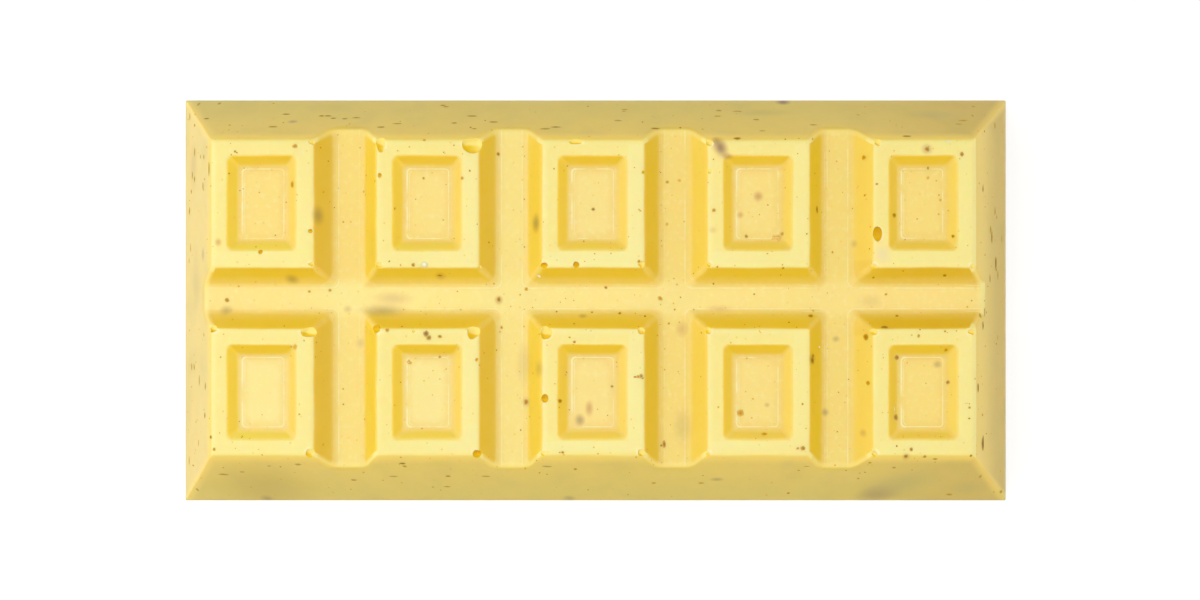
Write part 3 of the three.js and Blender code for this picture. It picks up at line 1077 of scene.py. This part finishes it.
def dish_colour(at):
    """The floors of the dishes, with painted shade along their walls, most at the back."""
    colour = mix(at.central, mix(at.along, DISH_LEFT, DISH_RIGHT), DISH_MIDDLE)
    colour = mix(at.front_left, colour, DISH_PALE)
    near_wall = ring(at.spot, (DISH_X / 2 - 4.2, DISH_Y / 2 - 4.2), 0.6)
    back = ramp(at.spot[1], DISH_Y / 2 - 3.6, DISH_Y / 2 - 2.2)
    shade = larger(ramp(near_wall, 0.0, 1.9) * 0.4, back * 0.75)
    return mix(shade, colour, DISH_SHADE)


def groove_colour(at):
    """The floors of the short grooves and the long one, with painted shade along their walls,
    deeper beside the walls that face right, towards the right end.
    """
    pale = ramp(at.x, -35, -25) * ramp(at.x, 5, -5)
    pale = larger(pale, at.front_left * 0.5)
    short = mix(pale, mix(at.along, GROOVE_LEFT, GROOVE_RIGHT), GROOVE_PALE)
    long = mix(ramp(at.x, -42, -52), mix(at.along, LONG_LEFT, LONG_RIGHT), LONG_END)
    colour = mix(ramp(abs(at.y), 4.2, 1.6), short, long)
    near_wall = ring(at.spot, (FOOT_X, FOOT_Y), 1.5)
    right_side = ramp(at.spot[0], 8.0, 11.0) * at.along
    shade = ramp(near_wall, 1.7, -0.4) * choose(right_side, 0.22, 0.6)
    return mix(shade, colour, FLOOR_SHADE)


def top_colour(at):
    """The level tops of the blocks, with a painted highlight on the bands right of and below the
    dish, along the left rim and, in the front row, along the back rim.
    """
    right_band = ramp(at.spot[0], DISH_X / 2 - 0.3, DISH_X / 2 + 0.3)
    front_band = ramp(at.spot[1], -DISH_Y / 2 + 0.3, -DISH_Y / 2 - 0.3)
    left_rim = ramp(at.spot[0], -DISH_X / 2 - 1.0, -DISH_X / 2 - 2.4)
    back_rim = ramp(at.spot[1], DISH_Y / 2 + 1.0, DISH_Y / 2 + 2.4) * ramp(at.y, 3.0, -3.0)
    bright = larger(larger(right_band, front_band), larger(left_rim, back_rim))
    return mix(bright, PALE_TOP, mix(at.central, HIGHLIT_TOP, HIGHLIT_MIDDLE))


def level_colour(at):
    """Floors of grooves and dishes and tops of blocks, told apart by their height, all painted
    pale with the sheen of the lamps overhead.
    """
    above_grooves = ramp(at.z, FLOOR_Z + 0.7, DISH_Z - 0.4)
    raised = ramp(at.z, DISH_Z + 0.2, HEIGHT - 0.1)
    return mix(raised, mix(above_grooves, groove_colour(at), dish_colour(at)), top_colour(at))


def wall_colour(at):
    """The leaning walls of dishes and grooves, painted deep gold as in shade, lighter where they
    face the lamps on the left and at the back, and by their place.
    """
    colour = mix(at.lit, GOLD_WALL, LIT_WALL)
    colour = mix(at.left * at.along, colour, LIT_WALL_RIGHT)
    # Painted light on the front walls of the dishes, which face back
    soft = mix(at.along, LIT_DISH_FRONT_LEFT, LIT_DISH_FRONT_RIGHT)
    colour = mix(at.back * at.in_dish, colour, soft)
    # Painted light on the left walls of the dishes towards the left end
    colour = mix(at.right * at.in_dish * (1.0 - at.along), colour, LIT_DISH_WALL_LEFT)
    # Painted shade on the long groove's walls towards the right end
    long_wall = ramp(abs(at.y), 7, 6) * 0.8 * ramp(at.x, 35, 60)
    return mix(long_wall, colour, SHADED_END_WALL)


def slope_colour(at):
    """The outer slopes, duller towards their feet, with painted light on the left slope, painted
    shade at the right end, and a painted highlight under the rim, along the hips and up the slope
    that faces right.
    """
    colour = mix(ramp(at.z, 0.5, 9.5), SLOPE_LOW, SLOPE_HIGH)
    colour = mix(ramp(at.x, 0.25 * LENGTH, 0.5 * LENGTH), colour, SHADED_SLOPE_RIGHT)
    colour = mix(ramp(at.face_x, -0.2, -0.5), colour, LIT_SLOPE_LEFT)
    shade = ramp(grain(at.vector, 0.13, 4.0), 0.45, 0.75)
    colour = mix(shade * SLOPE_CLOUDINESS, colour, OLIVE_SHADE)
    right_highlight_share = ramp(at.z, 2.0, 9.0) * at.right * 0.85
    rim_highlight_share = larger(ramp(at.z, 8.1, 9.9), right_highlight_share)
    return mix(larger(rim_highlight_share, at.hip * 0.6), colour, RIM_HIGHLIGHT)


def wall_corners(at):
    """1 along the edges between two walls of a block, 0 away from them: where the walls get a
    painted highlight.
    """
    out_x = abs(at.spot[0]) - BLOCK_X / 2
    out_y = abs(at.spot[1]) - BLOCK_Y / 2
    past = ramp(calc("MINIMUM", out_x, out_y), -0.2, 0.3)
    return ramp(abs(out_x - out_y), 1.3, 0.1) * past


def painted_sheen_share(at):
    """1 on level ground, 0 on a leaning wall: the share of painted sheen against painted shade.
    At which lean in degrees it fades depends on the way the wall faces the lamps, and on whether
    it is a rim, a foot or in a dish. The edges between two walls and the rounded corners of the
    walls' feet get a painted highlight."""
    rim = ramp(at.lean, 34, 15)
    rim = choose(larger(at.right, at.front), rim, ramp(at.lean, 42, 22))
    rim = choose(at.left, rim, ramp(at.lean, 26, 8))
    rim = choose(at.back, rim, ramp(at.lean, 31, 13))

    crosswise = ramp(abs(at.face_y), 0.1, 0.5)
    fade = ramp(at.z, FLOOR_Z + 1.5, FLOOR_Z + 0.2) * choose(crosswise, 0.08, 0.42)
    foot = choose(at.back, ramp(at.lean, 38, 4), ramp(at.lean, 44, 12))

    dish = choose(at.lit, ramp(at.lean, 20, 2), ramp(at.lean, 30, 4))
    near_rim = ramp(at.z, FLOOR_Z + 0.9, FLOOR_Z + 1.6)
    share = choose(at.in_dish, choose(near_rim, larger(foot, fade), rim), dish)

    rounded = ramp(ring(at.spot, (FOOT_X, FOOT_Y), 2.4), -0.3, 0.1)
    rounded = rounded * (at.clear * 0.8)
    return larger(share, larger(wall_corners(at) * 0.5, rounded))


def right_end(at):
    """At the top of the right slope: the long groove's mouth and the strip under the rim, where
    the colours of the top and the painted highlight of the lip reach further down.
    """
    end_x = LENGTH / 2 - SLOPE_RUN
    hip = (LENGTH - WIDTH) / 2
    end = ramp(at.x, end_x - 0.6, end_x - 0.4)
    end = end * ramp(at.x - abs(at.y), hip - 0.2, hip + 0.5)
    mouth = ramp(abs(at.y), 3.4, 2.4) * ramp(at.z, FLOOR_Z - 0.9, FLOOR_Z - 0.5) * end
    strip = ramp(at.z, HEIGHT - 0.8, HEIGHT - 0.4) * end
    return mouth, strip


def moulded_colour(at, sheen_share):
    """Level ground, walls and outer slopes put together, with a painted highlight on the lip
    between them.
    """
    colour = mix(sheen_share, wall_colour(at), level_colour(at))
    mouth, strip = right_end(at)
    # Painted highlight on the lip where the tops meet the outer slopes
    lip = larger(ramp(at.inside, 1.3, 0.2) * 0.65, mouth * ramp(at.inside, 0.8, 0.2))
    edge = ramp(at.inside, 1.1, 0.8)
    low = ramp(at.z, HEIGHT - 0.6, HEIGHT - 1.1)
    colour = mix(choose(low, edge, lip), colour, HIGHLIT_TOP)
    sloping = ramp(at.inside + larger(strip, mouth) * 0.5, 0.42, 0.08)
    colour = mix(sloping, colour, slope_colour(at))
    return mix(ramp(at.up, -0.2, -0.6), colour, UNDERSIDE)


def white_chocolate():
    material, net, shader = new_material("white_chocolate")
    at = survey(net)
    # Where level ground gets a painted sheen and walls painted shade
    sheen_share = painted_sheen_share(at)
    body = moulded_colour(at, sheen_share)

    swirl = ramp(grain(at.vector, 0.22), 0.35, 0.65)
    body = mix(swirl * 0.08, body, WARM_SWIRL)
    mottle = ramp(grain(at.vector, 1.1, 5.0), 0.48, 0.78) * (sheen_share * at.clear)
    body = mix(mottle * 0.2, body, PALE_FAT_AND_HIGHLIGHT)

    worn = ramp(grain(at.vector, 0.35), 0.33, 0.6)
    marks = larger(groove_marks(at), dish_marks(at)) * sheen_share * (worn * at.clear)
    # The thin raised lines get a painted highlight
    body = mix(marks * 0.65, body, PALE_FAT_AND_HIGHLIGHT)

    for *place, colour, strength in CLOUDS:
        body = mix(cloud(at.vector, *place) * strength, body, colour)
    body = mix(specks(at.vector, 1.3, 0.22, 0.5) * 0.5, body, OCHRE)

    relief = grain(at.vector, 1.7, 5.0) * 0.5 + marks * 0.9
    bump = net.nodes.new("ShaderNodeBump")
    uneven = feed(bump, {"Strength": 0.35, "Distance": 0.00006, "Height": relief})
    satin = calc("MULTIPLY_ADD", grain(at.vector, 0.6), 0.12, 0.30)
    feed(shader, {"Base Color": body, "Roughness": satin, "Normal": uneven})
    fat(shader, 1.0)
    return material


def fat(shader, translucence, shine=0.5):
    """The satin sheen and slight translucence of cocoa butter and milk."""
    inputs = {
        "IOR": 1.5,
        "Specular IOR Level": shine,
        "Subsurface Weight": translucence,
        "Subsurface Radius": (1.0, 0.75, 0.35),
        "Subsurface Scale": 0.001,
    }
    feed(shader, inputs)


def bubble_skin():
    """The chocolate in saucers and deep bubbles: a painted highlight at the rim, painted shade in
    deep gold in the hollow, darker on its back wall.
    """
    material, net, shader = new_material("bubble_skin")
    vector = position(net)
    sunk = ramp(axes(vector)[2], HEIGHT - 0.17, HEIGHT - 0.28)
    hollow = mix(ramp(facing(net)[1], -0.4, 0.6), SHADED_HOLLOW_BACK, LIT_HOLLOW_FRONT)
    uneven = ramp(grain(vector, 2.5), 0.4, 0.7)
    body = mix(uneven * 0.1, mix(sunk, HOLLOW_RIM_HIGHLIGHT, hollow), OCHRE)
    feed(shader, {"Base Color": body, "Roughness": 0.5})
    fat(shader, 0.3, shine=0.25)
    return material


def open_bubble_skin():
    """And in the open bubbles: painted pale at the back, as level ground is, and painted shade in
    saturated gold towards the front.
    """
    material, net, shader = new_material("open_bubble_skin")
    face_x, face_y, _ = facing(net)
    body = mix(ramp(face_x * 0.5 + face_y, -0.05, 0.5), LIT_OPEN_BACK, SHADED_OPEN_FRONT)
    uneven = ramp(grain(position(net), 1.5), 0.4, 0.7)
    feed(shader, {"Base Color": mix(uneven * 0.1, body, PALE_FAT_AND_HIGHLIGHT), "Roughness": 0.5})
    fat(shader, 0.4, shine=0.2)
    return material


def fleck_skin():
    """Dry grains of vanilla and caramel, each in its own tone and paler towards its rim."""
    material, net, shader = new_material("fleck_skin")
    tone = net.nodes.new("ShaderNodeAttribute")
    tone.attribute_name = "tone"
    uneven = ramp(grain(position(net), 6.0), 0.35, 0.75)
    body = mix(uneven * 0.25, Value(tone.outputs["Color"]), HONEY)
    feed(shader, {"Base Color": body, "Roughness": 0.85, "Specular IOR Level": 0.08})
    return material


def crumbly_skin(name, first, second):
    """A crumb or splinter in two tones."""
    material, net, shader = new_material(name)
    uneven = ramp(grain(position(net), 4.0), 0.35, 0.75)
    feed(shader, {"Base Color": mix(uneven, first, second), "Roughness": 0.4})
    fat(shader, 0.5)
    return material


def table_white():
    material, _, shader = new_material("table_white")
    inputs = {
        "Base Color": (0.9, 0.9, 0.9, 1),
        "Roughness": 0.6,
        "Emission Color": (1, 1, 1, 1),
        "Emission Strength": 0.15,
    }
    feed(shader, inputs)
    return material


def paint(piece, material):
    piece.data.materials.clear()
    piece.data.materials.append(material)


# ---------------------------------------------------------------------------------------------
# Table, light and camera
# ---------------------------------------------------------------------------------------------

CAMERA_HEIGHT = 165.0
CAMERA_X = 9.3
CAMERA_Y = -8.1
IMAGE_WIDTH = 1200
PIXELS_AT_TABLE = 820.2 / 150.0  # pixels for each millimetre of table
AXIS_RIGHT = 46.5  # pixels from the image's centre to where the camera points
AXIS_DOWN = 44.7


def table():
    bpy.ops.object.select_all(action="DESELECT")
    bpy.ops.mesh.primitive_plane_add(size=4, location=(0, 0, 0))
    floor = bpy.context.object
    floor.name = "table"
    paint(floor, table_white())


def camera():
    data = bpy.data.cameras.new("camera")
    piece = bpy.data.objects.new("camera", data)
    bpy.context.scene.collection.objects.link(piece)
    bpy.context.scene.camera = piece
    piece.location = (CAMERA_X * MM, CAMERA_Y * MM, CAMERA_HEIGHT * MM)
    data.sensor_width = 36
    data.lens = CAMERA_HEIGHT * PIXELS_AT_TABLE / IMAGE_WIDTH * data.sensor_width
    data.shift_x = -AXIS_RIGHT / IMAGE_WIDTH
    data.shift_y = AXIS_DOWN / IMAGE_WIDTH
    data.clip_start = 0.01
    data.clip_end = 10


def soft_box(name, size, place, target, watts):
    data = bpy.data.lights.new(name, "AREA")
    data.shape = "RECTANGLE"
    data.size, data.size_y = size
    data.energy = watts
    piece = bpy.data.objects.new(name, data)
    bpy.context.scene.collection.objects.link(piece)
    piece.location = place
    aim = Vector(target) - Vector(place)
    piece.rotation_euler = aim.to_track_quat("-Z", "Y").to_euler()


def light():
    world = bpy.data.worlds.new("studio")
    bpy.context.scene.world = world
    world.use_nodes = True
    background = world.node_tree.nodes["Background"]
    background.inputs["Color"].default_value = (1, 1, 1, 1)
    background.inputs["Strength"].default_value = 0.18
    soft_box("overhead_left", (0.45, 0.6), (-0.475, 0.0, 0.55), (-0.475, 0, 0), 1.37)
    soft_box("overhead", (0.45, 0.6), (-0.025, 0.0, 0.55), (-0.025, 0, 0), 1.35)
    soft_box("overhead_right", (0.4, 0.6), (0.4, 0.0, 0.55), (0.4, 0, 0), 0.9)
    soft_box("left", (0.5, 0.5), (-0.6, 0.05, 0.3), (0, 0, 0), 1.45)
    soft_box("right", (0.5, 0.5), (0.6, 0.0, 0.3), (0, 0, 0), 0.78)
    soft_box("front", (0.9, 0.4), (0.0, -0.6, 0.3), (0, 0, 0), 0.62)
    view = bpy.context.scene.view_settings
    view.view_transform = "Standard"
    view.look = "None"


# ---------------------------------------------------------------------------------------------
# The whole scene
# ---------------------------------------------------------------------------------------------

table()
camera()
light()

crumb = crumbly_skin("crumb_skin", *CRUMB_TONES)
bar = chocolate_bar(white_chocolate(), bubble_skin(), open_bubble_skin(), crumb)
grains = flecks(bar, fleck_skin())
splinters = chips(bar, crumbly_skin("chip_skin", *CHIP_TONES))
for made in (bar, grains, splinters):
    to_metres(made)
    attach(made, "root")
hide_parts("bar")
